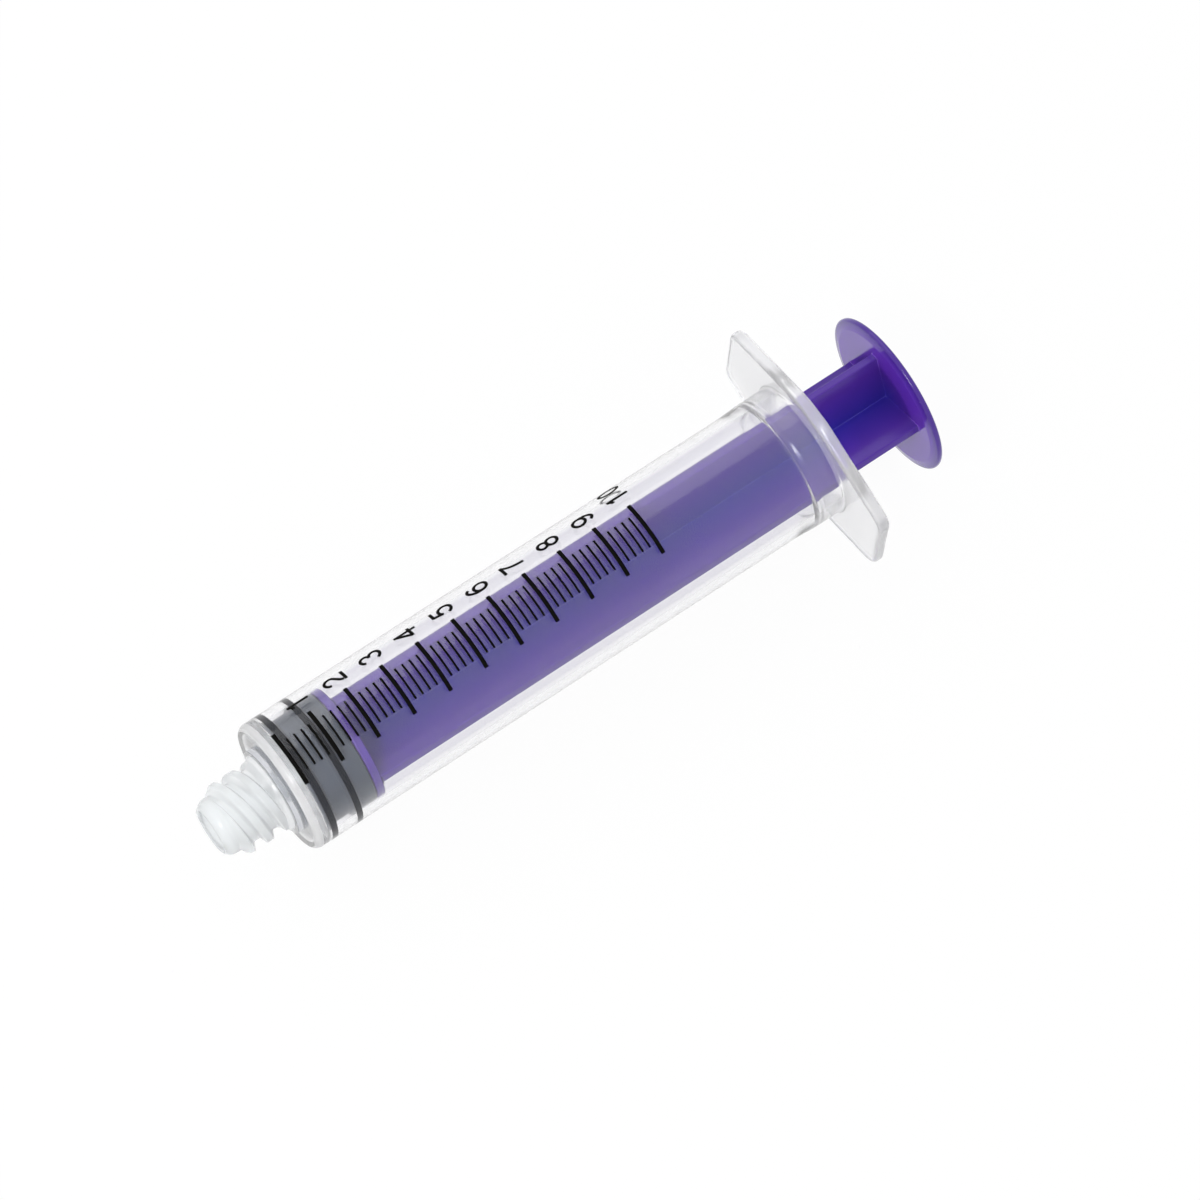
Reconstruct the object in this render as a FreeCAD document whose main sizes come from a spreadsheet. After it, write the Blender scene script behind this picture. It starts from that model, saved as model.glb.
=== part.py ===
import FreeCAD, Part
import math
import os
import re
import Sketcher

# Enteral syringe of 10 mL, all in millimetres.
# The syringe's axis is X. X = 0 is the mouth of the nozzle, and X grows towards the thumb disc.
# The finger flange reaches out along Y, and Z points up.
# It has three pieces: the clear barrel, the plunger rod and the rubber piston seal.

document = FreeCAD.newDocument("enteral_syringe")

# Driving dimensions
DIMENSIONS = {
    # nozzle: tapered socket inside, double thread outside
    "mouth_radius": 2.87,
    "mouth_bevel": 0.25,
    "socket_depth": 8.0,
    "socket_taper": 0.06,
    "passage_radius": 1.4,
    "nose_wall": 1.01,
    "nose_round": 1.65,
    "nose_length": 9.6,
    "flare_length": 2.3,
    "flare_rise": 1.12,
    "flare_edge": 1.3,
    "foot_height": 0.76,
    "foot_rise": 2.02,
    "foot_step": 0.68,
    "foot_edge": 0.12,
    "thread_height": 1.0,
    "thread_base": 2.05,
    "thread_crest": 0.85,
    "thread_root_sink": 0.2,
    "thread_lead": 5.4,
    "thread_first": 0.3,
    "thread_inset": 0.3,
    "thread_turn": 20.0,
    "thread_fade_start": 1.7,
    "thread_fade_end": 2.9,
    # barrel tube and its front end
    "bore_radius": 7.8,
    "tube_wall": 1.05,
    "tube_length": 80.55,
    "shoulder_round": 1.06,
    "shoulder_step": 0.55,
    "floor_thick": 0.6,
    "floor_cone": 1.0,
    # finger flange at the open end
    "flange_thick": 1.65,
    "flange_reach": 16.0,
    "flange_rim": 2.07,
    "flange_flat": 0.1,
    "flange_taper": 19.3,
    "flange_corner": 2.0,
    "flange_fillet": 0.35,
    "collar_step": 0.18,
    "collar_length": 5.2,
    "collar_slope": 0.7,
    "bead_height": 0.25,
    "bead_width": 1.5,
    "bead_from_flange": 3.4,
    "lead_in": 0.5,
    # piston seal
    "seal_clearance": 0.05,
    "seal_gap": 0.4,
    "seal_length": 7.3,
    "ring_front_width": 0.9,
    "ring_rear_width": 0.8,
    "ring_rear_place": 3.95,
    "ring_flank": 0.25,
    "groove_depth": 0.5,
    "skirt_depth": 0.15,
    "seal_shoulder": 0.15,
    "pocket_radius": 4.6,
    "pocket_length": 3.6,
    "lip_radius": 3.3,
    "lip_length": 2.4,
    # plunger rod
    "turn_clearance": 0.08,
    "end_clearance": 0.1,
    "head_point": 1.1,
    "disc_clearance": 0.14,
    "head_disc_thick": 1.1,
    "head_disc_bevel": 0.25,
    "rib_clearance": 0.17,
    "rib_thick": 1.15,
    "rib_fillet": 0.35,
    "rib_turn": 24.0,
    "rod_free_length": 10.15,
    "thumb_inset": 0.05,
    "thumb_cone": 1.0,
    "thumb_rim": 1.0,
    "thumb_bevel": 0.45,
    "thumb_edge": 1.25,
}

sheet = document.addObject("Spreadsheet::Sheet", "dims")
for row, (alias, value) in enumerate(DIMENSIONS.items(), start=1):
    sheet.set(f"A{row}", alias)
    sheet.set(f"B{row}", str(value))
    sheet.setAlias(f"B{row}", alias)
document.recompute()


def dim(text):
    """Put the sheet's name before each alias in an expression."""
    return re.sub(r"[a-z_]+", lambda m: "dims." + m[0] if m[0] in DIMENSIONS else m[0], text)


def value_of(text):
    """The number that an expression over the sheet gives."""
    result = sheet.evalExpression(dim(text))
    return float(getattr(result, "Value", result))


# Radii that follow the mouth of the nozzle or the bore
NOSE_RADIUS = "( mouth_radius + nose_wall )"
FOOT_RADIUS = f"( {NOSE_RADIUS} + foot_rise )"
BARREL_RADIUS = "( bore_radius + tube_wall )"
COLLAR_RADIUS = f"( {BARREL_RADIUS} + collar_step )"
FLANGE_MIDDLE = f"( {COLLAR_RADIUS} + flange_rim )"
BEAD_RADIUS = "( bore_radius - bead_height )"
RING_RADIUS = "( bore_radius - seal_clearance )"
GROOVE_RADIUS = f"( {RING_RADIUS} - groove_depth )"
SKIRT_RADIUS = f"( {RING_RADIUS} - skirt_depth )"
DISC_RADIUS = "( bore_radius - disc_clearance )"
RIB_REACH = f"( {BEAD_RADIUS} - rib_clearance )"
# The syringe lies on a short flat of the flange, just clear of the thumb disc's rim
FLAT_REACH = f"( {FLANGE_MIDDLE} - flange_flat )"
THUMB_RADIUS = f"( {FLAT_REACH} - thumb_inset )"

# Places along X that several pieces share
SOCKET_END_RADIUS = "( mouth_radius - socket_depth * socket_taper / 2 )"
SHOULDER_X = "nose_length"
FOOT_X = "( nose_length - foot_height )"
SHOULDER_ARC_END = (
    "( nose_length + sqrt( 2 * shoulder_round * shoulder_step - shoulder_step ^ 2 ) )"
)
BARREL_END = "( nose_length + tube_length )"
FLANGE_X = "( nose_length + tube_length - flange_thick )"
FLOOR_CENTRE_X = "( nose_length + floor_thick )"
FLOOR_WALL_X = "( nose_length + floor_thick + floor_cone )"
FLOOR_SLOPE = "( floor_cone / ( bore_radius - passage_radius ) )"
BEAD_X = "( nose_length + tube_length - flange_thick - bead_from_flange )"
SEAL_WALL_X = f"( {FLOOR_WALL_X} + seal_gap )"
RING_X = f"( {SEAL_WALL_X} + seal_shoulder )"
SEAL_END = f"( {RING_X} + seal_length )"
SEAL_TIP = f"( {FLOOR_CENTRE_X} + seal_gap - passage_radius * {FLOOR_SLOPE} )"
POCKET_END = f"( {SEAL_END} - lip_length )"
POCKET_START = f"( {POCKET_END} - pocket_length )"
DISC_X = f"( {SEAL_END} + end_clearance )"
RIBS_X = f"( {DISC_X} + head_disc_thick )"
THUMB_X = f"( {BARREL_END} + rod_free_length )"
THUMB_FACE = f"( {THUMB_X} + thumb_cone + thumb_rim )"


def plane_of(body, role):
    """One of the body's own origin planes or axes, found by its role."""
    for feature in body.Origin.OriginFeatures:
        if feature.Role == role:
            return feature
    raise ValueError(role)


def new_sketch(body, name, role):
    sketch = body.newObject("Sketcher::SketchObject", name)
    sketch.AttachmentSupport = [(plane_of(body, role), "")]
    sketch.MapMode = "FlatFace"
    return sketch


def arc_middle(start, end, radius, side):
    """Middle of an arc from its ends and radius; side is 1 where it bulges to the left."""
    chord = end - start
    sagitta = radius - math.sqrt(max(radius ** 2 - chord.Length ** 2 / 4, 0.0))
    across = FreeCAD.Vector(-chord.y, chord.x, 0).normalize()
    return (start + end) / 2 + across * (side * sagitta)


def bind(sketch, index, name, expression):
    sketch.renameConstraint(index, name)
    sketch.setExpression("Constraints." + name, dim(expression))


def draw_outline(sketch, corners):
    """Closed outline through corners (x, y) or, where an arc arrives, (x, y, radius, side)."""
    points = [FreeCAD.Vector(value_of(c[0]), value_of(c[1]), 0) for c in corners]
    first = sketch.GeometryCount
    for i, corner in enumerate(corners):
        start, end = points[i - 1], points[i]
        if len(corner) == 4:
            middle = arc_middle(start, end, value_of(corner[2]), corner[3])
            curve = Part.Arc(start, middle, end)
        else:
            curve = Part.LineSegment(start, end)
        sketch.addGeometry(curve, False)
    ends = []
    for i, corner in enumerate(corners):
        reversed_arc = len(corner) == 4 and corner[3] == 1
        ends.append((2, 1) if reversed_arc else (1, 2))
    for i, corner in enumerate(corners):
        here = first + i
        following = (i + 1) % len(corners)
        sketch.addConstraint(Sketcher.Constraint(
            "Coincident", here, ends[i][1], first + following, ends[following][0]))
        for axis, kind, tag in ((-2, "DistanceX", "x"), (-1, "DistanceY", "y")):
            expression = corner[0] if tag == "x" else corner[1]
            if expression == "0":
                sketch.addConstraint(Sketcher.Constraint("PointOnObject", here, ends[i][1], axis))
                continue
            index = sketch.addConstraint(
                Sketcher.Constraint(kind, here, ends[i][1], value_of(expression)))
            bind(sketch, index, f"{tag}{here}", expression)
        if len(corner) == 4:
            index = sketch.addConstraint(Sketcher.Constraint("Radius", here, value_of(corner[2])))
            bind(sketch, index, f"arc{here}", corner[2])


def turned_form(body, kind, name, corners):
    """A profile of (x, radius) corners turned once round the X axis."""
    sketch = new_sketch(body, name + "_profile", "XZ_Plane")
    draw_outline(sketch, corners)
    feature = body.newObject(kind, name)
    feature.Profile = sketch
    feature.ReferenceAxis = (plane_of(body, "X_Axis"), [""])
    feature.Angle = 360.0
    document.recompute()
    return feature


def padded_form(body, name, start_x, length, draw):
    """A section in the YZ plane, drawn by draw(sketch), carried along X from start_x."""
    sketch = new_sketch(body, name + "_section", "YZ_Plane")
    sketch.setExpression("AttachmentOffset.Base.z", dim(start_x))
    draw(sketch)
    feature = body.newObject("PartDesign::Pad", name)
    feature.Profile = sketch
    feature.setExpression("Length", dim(length))
    document.recompute()
    return feature


def new_body(name):
    body = document.addObject("PartDesign::Body", name)
    body.Label = name
    return body


# Barrel: one clear moulding with the nozzle, the tube and the finger flange
barrel = new_body("barrel")

NOSE_ARC_END = (
    "( sqrt( nose_round ^ 2 - ( mouth_bevel - nose_wall + nose_round ) ^ 2 ) )"
)

turned_form(barrel, "PartDesign::Revolution", "barrel_wall", [
    ("mouth_bevel", "mouth_radius"),
    ("0", "mouth_radius + mouth_bevel"),
    ("0", NOSE_RADIUS),
    ("nose_length - flare_length", NOSE_RADIUS),
    ("nose_length - flare_edge", f"{NOSE_RADIUS} + flare_rise"),
    (FOOT_X, f"{FOOT_RADIUS} - foot_step"),
    (FOOT_X, f"{FOOT_RADIUS} - foot_edge"),
    (f"{FOOT_X} + foot_edge", FOOT_RADIUS),
    (SHOULDER_X, FOOT_RADIUS),
    (SHOULDER_X, f"{BARREL_RADIUS} - shoulder_step"),
    (SHOULDER_ARC_END, BARREL_RADIUS, "shoulder_round", 1),
    (f"{FLANGE_X} - collar_length", BARREL_RADIUS),
    (f"{FLANGE_X} - collar_length + collar_slope", COLLAR_RADIUS),
    (f"{FLANGE_X} - flange_fillet", COLLAR_RADIUS),
    (f"{FLANGE_X} - flange_fillet / 3", f"{COLLAR_RADIUS} + flange_fillet / 3"),
    (FLANGE_X, f"{COLLAR_RADIUS} + flange_fillet"),
    (BARREL_END, f"{COLLAR_RADIUS} + flange_fillet"),
    (BARREL_END, "bore_radius + lead_in"),
    (f"{BARREL_END} - 2 * lead_in", "bore_radius"),
    (f"{BEAD_X} + bead_width / 2", "bore_radius"),
    (f"{BEAD_X} + bead_width / 6", BEAD_RADIUS),
    (f"{BEAD_X} - bead_width / 6", BEAD_RADIUS),
    (f"{BEAD_X} - bead_width / 2", "bore_radius"),
    (FLOOR_WALL_X, "bore_radius"),
    (FLOOR_CENTRE_X, "passage_radius"),
    ("socket_depth", "passage_radius"),
    ("socket_depth", SOCKET_END_RADIUS),
])


def flange_section(sketch):
    """Round middle with a short flat, and straight sides that taper to round-cornered tips."""
    sine = "sin( flange_taper * 1 deg )"
    cosine = "cos( flange_taper * 1 deg )"
    corner_z = f"( ( {FLANGE_MIDDLE} - flange_reach * {sine} ) / {cosine} )"
    run = "( flange_corner * tan( ( 90 - flange_taper ) / 2 * 1 deg ) )"
    quarter = [
        (f"sqrt( {FLANGE_MIDDLE} ^ 2 - {FLAT_REACH} ^ 2 )", FLAT_REACH),
        (f"{FLANGE_MIDDLE} * {sine}", f"{FLANGE_MIDDLE} * {cosine}"),
        (f"flange_reach - {run} * {cosine}", f"{corner_z} + {run} * {sine}"),
        ("flange_reach", f"{corner_z} - {run}"),
    ]
    corners = []
    for side_y, side_z, order in ((1, 1, 1), (1, -1, -1), (-1, -1, 1), (-1, 1, -1)):
        arcs = (FLANGE_MIDDLE, "flange_corner")[::order]
        for i, (y, z) in enumerate(quarter[::order]):
            place = (f"{side_y} * ( {y} )", f"{side_z} * ( {z} )")
            if i % 2:
                corners.append(place + (arcs[i // 2], 1))
            else:
                corners.append(place)
    draw_outline(sketch, corners)
    hole = sketch.addGeometry(Part.Circle(
        FreeCAD.Vector(0, 0, 0), FreeCAD.Vector(0, 0, 1), value_of(BARREL_RADIUS)), False)
    sketch.addConstraint(Sketcher.Constraint("Coincident", hole, 3, -1, 1))
    index = sketch.addConstraint(Sketcher.Constraint("Radius", hole, value_of(BARREL_RADIUS)))
    bind(sketch, index, "hole", BARREL_RADIUS)


padded_form(barrel, "finger_flange", FLANGE_X, "flange_thick", flange_section)


def add_thread():
    """Two equal ridges wound round the nose, half a turn apart."""
    profile = new_sketch(barrel, "thread_profile", "XZ_Plane")
    profile.AttachmentOffset = FreeCAD.Placement(
        FreeCAD.Vector(), FreeCAD.Rotation(FreeCAD.Vector(1, 0, 0), 1.0))
    profile.setExpression("AttachmentOffset.Rotation.Angle", dim("( thread_turn - 90 ) * 1 deg"))
    buried = f"{NOSE_RADIUS} - thread_root_sink"
    crest = f"{NOSE_RADIUS} + thread_height"
    half_base = "thread_base / 2"
    half_crest = "thread_crest / 2"
    draw_outline(profile, [
        (f"thread_first - {half_base}", buried),
        (f"thread_first - {half_base}", NOSE_RADIUS),
        (f"thread_first - {half_crest}", crest),
        (f"thread_first + {half_crest}", crest),
        (f"thread_first + {half_base}", NOSE_RADIUS),
        (f"thread_first + {half_base}", buried),
    ])
    ridge = barrel.newObject("PartDesign::AdditiveHelix", "thread_ridge")
    ridge.Profile = profile
    ridge.ReferenceAxis = (plane_of(barrel, "X_Axis"), [""])
    ridge.Mode = "pitch-turns-angle"
    ridge.setExpression("Pitch", dim("thread_lead"))
    ridge.setExpression(
        "Turns", dim("( nose_length - thread_inset - thread_first ) / thread_lead"))
    document.recompute()
    starts = barrel.newObject("PartDesign::PolarPattern", "thread_starts")
    starts.Originals = [ridge]
    starts.Axis = (plane_of(barrel, "X_Axis"), [""])
    starts.Angle = 360.0
    starts.Occurrences = 2
    barrel.Tip = starts
    document.recompute()


add_thread()

# The nose's rounded end, and the cone on which both threads fade in
turned_form(barrel, "PartDesign::Groove", "nose_end", [
    ("0 - thread_lead", "mouth_radius + mouth_bevel"),
    ("0", "mouth_radius + mouth_bevel"),
    (NOSE_ARC_END, NOSE_RADIUS, "nose_round", 1),
    ("thread_fade_start", NOSE_RADIUS),
    ("thread_fade_end", f"{NOSE_RADIUS} + thread_height"),
    ("thread_fade_end", f"{NOSE_RADIUS} + 2 * thread_height"),
    ("0 - thread_lead", f"{NOSE_RADIUS} + 2 * thread_height"),
])

# Piston seal: a rubber stopper with two sealing rings and a pocket for the rod's head
piston_seal = new_body("piston_seal")

turned_form(piston_seal, "PartDesign::Revolution", "seal_form", [
    (SEAL_TIP, "0"),
    (SEAL_WALL_X, GROOVE_RADIUS),
    (RING_X, GROOVE_RADIUS),
    (f"{RING_X} + ring_flank", RING_RADIUS),
    (f"{RING_X} + ring_flank + ring_front_width", RING_RADIUS),
    (f"{RING_X} + 2 * ring_flank + ring_front_width", GROOVE_RADIUS),
    (f"{RING_X} + ring_rear_place - ring_flank", GROOVE_RADIUS),
    (f"{RING_X} + ring_rear_place", RING_RADIUS),
    (f"{RING_X} + ring_rear_place + ring_rear_width", RING_RADIUS),
    (f"{RING_X} + ring_rear_place + ring_rear_width + ring_flank", SKIRT_RADIUS),
    (SEAL_END, SKIRT_RADIUS),
    (SEAL_END, "lip_radius"),
    (POCKET_END, "lip_radius"),
    (POCKET_END, "pocket_radius"),
    (POCKET_START, "pocket_radius"),
    (f"{POCKET_START} - head_point", "0"),
])

# Plunger rod: one moulding with the head in the seal, the cross of ribs and the thumb disc
plunger_rod = new_body("plunger_rod")

HEAD_RADIUS = "( pocket_radius - turn_clearance )"
NECK_RADIUS = "( lip_radius - turn_clearance )"

turned_form(plunger_rod, "PartDesign::Revolution", "rod_head", [
    (f"{POCKET_START} + end_clearance - head_point", "0"),
    (f"{POCKET_START} + end_clearance", HEAD_RADIUS),
    (f"{POCKET_END} - end_clearance", HEAD_RADIUS),
    (f"{POCKET_END} - end_clearance", NECK_RADIUS),
    (DISC_X, NECK_RADIUS),
    (DISC_X, f"{DISC_RADIUS} - head_disc_bevel"),
    (f"{DISC_X} + head_disc_bevel", DISC_RADIUS),
    (f"{RIBS_X} - head_disc_bevel", DISC_RADIUS),
    (RIBS_X, f"{DISC_RADIUS} - head_disc_bevel"),
    (RIBS_X, "0"),
])


def cross_section(sketch):
    """Four ribs at right angles with small fillets where they meet."""
    half = "rib_thick / 2"
    inner = "( rib_thick / 2 + rib_fillet )"
    arm = [
        (RIB_REACH, f"-1 * {half}"),
        (RIB_REACH, half),
        (inner, half),
        (half, inner, "rib_fillet", 1),
    ]
    corners = []
    for quarter in range(4):
        for corner in arm:
            x, y = f"( {corner[0]} )", f"( {corner[1]} )"
            turned = ((x, y), (f"-1 * {y}", x), (f"-1 * {x}", f"-1 * {y}"), (y, f"-1 * {x}"))
            corners.append(turned[quarter] + tuple(corner[2:]))
    draw_outline(sketch, corners)
    sketch.setExpression("AttachmentOffset.Rotation.Angle", dim("( 90 - rib_turn ) * 1 deg"))


padded_form(
    plunger_rod, "cross_ribs", RIBS_X, f"{THUMB_X} + thumb_cone - {RIBS_X}", cross_section)

turned_form(plunger_rod, "PartDesign::Revolution", "thumb_disc", [
    (THUMB_X, "0"),
    (f"{THUMB_X} + thumb_cone", f"{THUMB_RADIUS} - thumb_edge"),
    (f"{THUMB_FACE} - thumb_rim + thumb_bevel / 2", f"{THUMB_RADIUS} - thumb_bevel / 2"),
    (f"{THUMB_FACE} - thumb_rim / 2", THUMB_RADIUS),
    (f"{THUMB_FACE} - thumb_bevel / 3", f"{THUMB_RADIUS} - thumb_bevel / 3"),
    (THUMB_FACE, f"{THUMB_RADIUS} - thumb_bevel"),
    (THUMB_FACE, "0"),
])

document.recompute()
for item in document.Objects:
    state = set(item.State)
    if state & {"Invalid", "Error"}:
        raise RuntimeError(f"{item.Label} is {item.State}")

os.makedirs("parts", exist_ok=True)
for body in (barrel, piston_seal, plunger_rod):
    shape = body.Shape
    if shape.isNull() or not shape.isValid() or len(shape.Solids) != 1:
        raise RuntimeError(f"{body.Label} has no valid single solid")
    shape.exportStep(f"parts/{body.Label}.step")
    box = shape.BoundBox
    print(
        f"{body.Label}: {shape.Volume:.1f} mm3, X {box.XMin:.2f} to {box.XMax:.2f}, "
        f"Y {box.YMin:.2f} to {box.YMax:.2f}, Z {box.ZMin:.2f} to {box.ZMax:.2f}")
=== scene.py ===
# %% [markdown]
# # A 10 mL enteral syringe
# The real thing is three mouldings. A clear barrel carries the nozzle and the finger flange, a
# violet plunger rod slides in it, and a grey rubber seal is clipped on the rod's head. Only the
# printed scale is added on top, in black ink. Each moulding is one closed skin here, because
# each comes out of its mould as one piece.

# %% The frame, and the box that everything has to stay inside
import bpy
import numpy as np
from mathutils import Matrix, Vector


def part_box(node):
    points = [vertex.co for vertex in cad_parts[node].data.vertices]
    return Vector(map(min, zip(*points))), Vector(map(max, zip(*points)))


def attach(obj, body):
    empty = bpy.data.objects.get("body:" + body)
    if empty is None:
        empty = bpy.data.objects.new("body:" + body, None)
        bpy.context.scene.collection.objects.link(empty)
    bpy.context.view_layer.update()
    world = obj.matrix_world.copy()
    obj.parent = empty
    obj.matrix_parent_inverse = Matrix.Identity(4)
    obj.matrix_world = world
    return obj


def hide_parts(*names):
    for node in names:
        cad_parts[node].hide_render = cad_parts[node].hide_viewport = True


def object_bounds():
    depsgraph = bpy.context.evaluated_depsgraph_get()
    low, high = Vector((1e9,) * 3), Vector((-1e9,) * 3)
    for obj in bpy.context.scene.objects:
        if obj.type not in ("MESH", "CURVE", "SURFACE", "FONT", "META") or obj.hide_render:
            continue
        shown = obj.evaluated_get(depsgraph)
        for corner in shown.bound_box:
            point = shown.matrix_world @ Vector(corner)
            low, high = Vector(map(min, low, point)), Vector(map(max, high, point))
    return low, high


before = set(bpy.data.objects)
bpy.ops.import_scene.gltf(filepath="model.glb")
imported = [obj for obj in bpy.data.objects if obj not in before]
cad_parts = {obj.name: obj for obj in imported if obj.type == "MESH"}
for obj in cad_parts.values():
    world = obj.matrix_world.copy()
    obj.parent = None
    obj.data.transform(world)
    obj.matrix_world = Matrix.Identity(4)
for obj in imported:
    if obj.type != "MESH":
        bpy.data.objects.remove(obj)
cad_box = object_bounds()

print("nodes:", sorted(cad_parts), "box:", [tuple(round(v, 4) for v in c) for c in cad_box])

# %% [markdown]
# ## Sizes
# All sizes are in millimetres, and the mesh builder turns them to metres. The syringe's axis is
# X, from the nozzle's mouth at 0 to the thumb disc. What several pieces share is named here, and
# the ends of the pieces are read from the frame, so that skin and frame agree.

# %% Shared sizes
MM = 0.001


def extent(node):
    """First and last place of a node along the syringe's axis, in millimetres."""
    low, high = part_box(node)
    return low.x / MM, high.x / MM


BARREL_END = extent("barrel")[1]
SEAL_TIP, SEAL_END = extent("piston_seal")
HEAD_TIP, THUMB_FACE = extent("plunger_rod")
BARREL_R = 8.85
BORE_R = 7.8
NOSE_LENGTH = 9.6
CENTRE_R = 0.02
print(f"barrel {BARREL_END:.2f} long, seal {SEAL_TIP:.2f} to {SEAL_END:.2f},",
      f"thumb disc's back at {THUMB_FACE:.2f}")

# %% [markdown]
# ## Rounded profiles
# A moulding has no sharp edge: each edge of the mould has a small radius, and it is that radius
# which catches a thin bright line of light. So a profile is written as corners, each with its
# own radius, and one function puts an arc in each corner.
# A bevel modifier could do it, but it rounds all edges alike and leaves odd faces on a thread.

# %% Profile helpers
def arc_corner(before, corner, after, radius, steps):
    """Points of an arc that replaces a corner.

    The arc touches both sides at radius / tan(half the angle) from the corner. Its centre is on
    the line that halves the angle, at radius / sin(half the angle).
    """
    a = (before - corner)[:2] / np.linalg.norm((before - corner)[:2])
    b = (after - corner)[:2] / np.linalg.norm((after - corner)[:2])
    half = np.arccos(np.clip(a @ b, -1, 1)) / 2
    middle = (a + b) / np.linalg.norm(a + b)
    centre = corner[:2] + middle * radius / np.sin(half)
    start = corner[:2] + a * radius / np.tan(half) - centre
    end = corner[:2] + b * radius / np.tan(half) - centre
    turn = np.pi - 2 * half
    t = np.linspace(0, 1, steps + 1)[:, None]
    around = (np.sin((1 - t) * turn) * start + np.sin(t * turn) * end) / np.sin(turn)
    rest = np.broadcast_to(corner[2:], (steps + 1, len(corner) - 2))
    return np.hstack([centre + around, rest])


def rounded(corners, closed=False, steps=6):
    """A path through corners, each one (place..., radius), with an arc where radius is not 0."""
    rows = np.array(corners, float)
    points, radii = rows[:, :-1], rows[:, -1]
    path = []
    for i, (point, radius) in enumerate(zip(points, radii)):
        if radius > 0 and (closed or 0 < i < len(points) - 1):
            following = points[(i + 1) % len(points)]
            path.append(arc_corner(points[i - 1], point, following, radius, steps))
        else:
            path.append(point[None])
    return np.vstack(path)


def length_along(path):
    """How far each point lies along a path."""
    gaps = np.linalg.norm(np.diff(path[:, :2], axis=0), axis=1)
    return np.concatenate([[0], np.cumsum(gaps)])


def with_spots(path, extra):
    """The same path with points added at the given lengths along it."""
    along = length_along(path)
    spots = np.union1d(along.round(6), extra.round(6))
    return np.stack([np.interp(spots, along, column) for column in path.T], axis=1)


def refined(path, step):
    """The same path with extra points, so that no two lie further apart than about step."""
    whole = length_along(path)[-1]
    return with_spots(path, np.linspace(0, whole, int(whole / step) + 1))


def held(path, margin=0.06):
    """The same path with a point close to both ends of each long side.

    Smooth shading blends the directions of neighbouring faces. A ring close to the end of a
    straight side keeps the blend of its rounded edge from spreading along the side.
    """
    along = length_along(path)
    long = np.diff(along) > 6 * margin
    return with_spots(path, np.concatenate([along[:-1][long] + margin, along[1:][long] - margin]))


# %% [markdown]
# ## Skins wound round the axis
# Every piece is a grid: one direction runs along a profile, the other goes round the axis. A
# plain turned piece has the same radius all the way round. Where it isn't round, as on the
# finger flange or the ribs, the radius is mixed with an outline: radius = own + share * outline.
# With share 0 the ring is a circle, and with share 1 it follows the outline, moved in or out.

# %% Skin builder
def reach(outline, angles):
    """How far a closed outline lies from the axis in each direction.

    A ray at angle t meets the side from p to q at (p x q) / (u x (q - p)), where u is the ray's
    direction and x is the cross product in the plane.
    """
    def cross(a, b):
        return a[..., 0] * b[..., 1] - a[..., 1] * b[..., 0]

    turns = np.arctan2(outline[:, 1], outline[:, 0]) % (2 * np.pi)
    order = np.argsort(turns)
    corners = outline[order]
    side = np.searchsorted(turns[order], angles % (2 * np.pi), side="right") - 1
    p, q = corners[side], np.roll(corners, -1, axis=0)[side]
    ray = np.stack([np.cos(angles), np.sin(angles)], axis=-1)
    return cross(p, q) / cross(ray, q - p)


def skin(name, x, radius, angles, closed):
    """A closed mesh over rings: point j of ring i lies at x[i], radius[i, j], angles[j].

    Its place is (x, radius * cos(angle), radius * sin(angle)). A closed skin joins its last ring
    to its first. An open one starts and ends in a point on the axis.
    """
    rings, count = radius.shape
    place = np.stack([
        np.broadcast_to(x[:, None], radius.shape),
        radius * np.cos(angles),
        radius * np.sin(angles),
    ], axis=-1).reshape(-1, 3)
    index = np.arange(rings * count).reshape(rings, count)
    beside = np.roll(index, -1, axis=1)
    last = None if closed else -1
    quads = np.stack([
        index, beside, np.roll(beside, -1, axis=0), np.roll(index, -1, axis=0)], axis=-1)
    faces = quads[:last].reshape(-1, 4).tolist()
    if not closed:
        ends = np.array([[x[0], 0, 0], [x[-1], 0, 0]])
        place = np.vstack([place, ends])
        first, final = rings * count, rings * count + 1
        faces += [(first, b, a) for a, b in zip(index[0], beside[0])]
        faces += [(a, b, final) for a, b in zip(index[-1], beside[-1])]
    return new_piece(name, place, faces)


def new_piece(name, place, faces):
    """A smooth-shaded mesh object at the origin, from places in millimetres."""
    mesh = bpy.data.meshes.new(name)
    mesh.from_pydata((place * MM).tolist(), [], faces)
    mesh.shade_smooth()
    mesh.validate()
    piece = bpy.data.objects.new(name, mesh)
    bpy.context.scene.collection.objects.link(piece)
    print(f"{name}: {len(mesh.vertices)} points, {len(mesh.polygons)} faces")
    return piece


# %% [markdown]
# ## Barrel: the nozzle and its thread
# The nozzle screws into a feeding tube's collar. Its thread has two starts: two equal ridges
# wind side by side, so that each moves on by two pitches in a turn and the joint closes fast.
# A screw modifier makes one ridge well, but its ends need patching. As a height over the plain
# nose, the ridges fade out by themselves, and the skin stays one closed sheet.

# %% Thread
THREAD_HEIGHT = 1.0
THREAD_LEAD = 5.4
THREAD_STARTS = 2
THREAD_BASE = 2.05
THREAD_CREST = 0.85
FADE_START = 1.7
FADE_LENGTH = 1.2
NOSE_R = 3.88


def thread_height(x, angles):
    """Height of the ridges over the nose at each (x, angle).

    Turned back by its angle, each place lands on one repeat of the pitch. The height there is a
    flat crest with sloping flanks, softened by 3h^2 - 2h^3, under a cone that lets it fade in.
    """
    pitch = THREAD_LEAD / THREAD_STARTS
    behind = x - THREAD_LEAD * angles / (2 * np.pi)
    off_crest = np.abs((behind + pitch / 2) % pitch - pitch / 2)
    flank = (THREAD_BASE - THREAD_CREST) / 2
    h = np.clip((THREAD_BASE / 2 - off_crest) / flank, 0, 1)
    fade_in = np.clip((x - FADE_START) / FADE_LENGTH, 0, 1)
    return THREAD_HEIGHT * np.minimum(h * h * (3 - 2 * h), fade_in)


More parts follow.
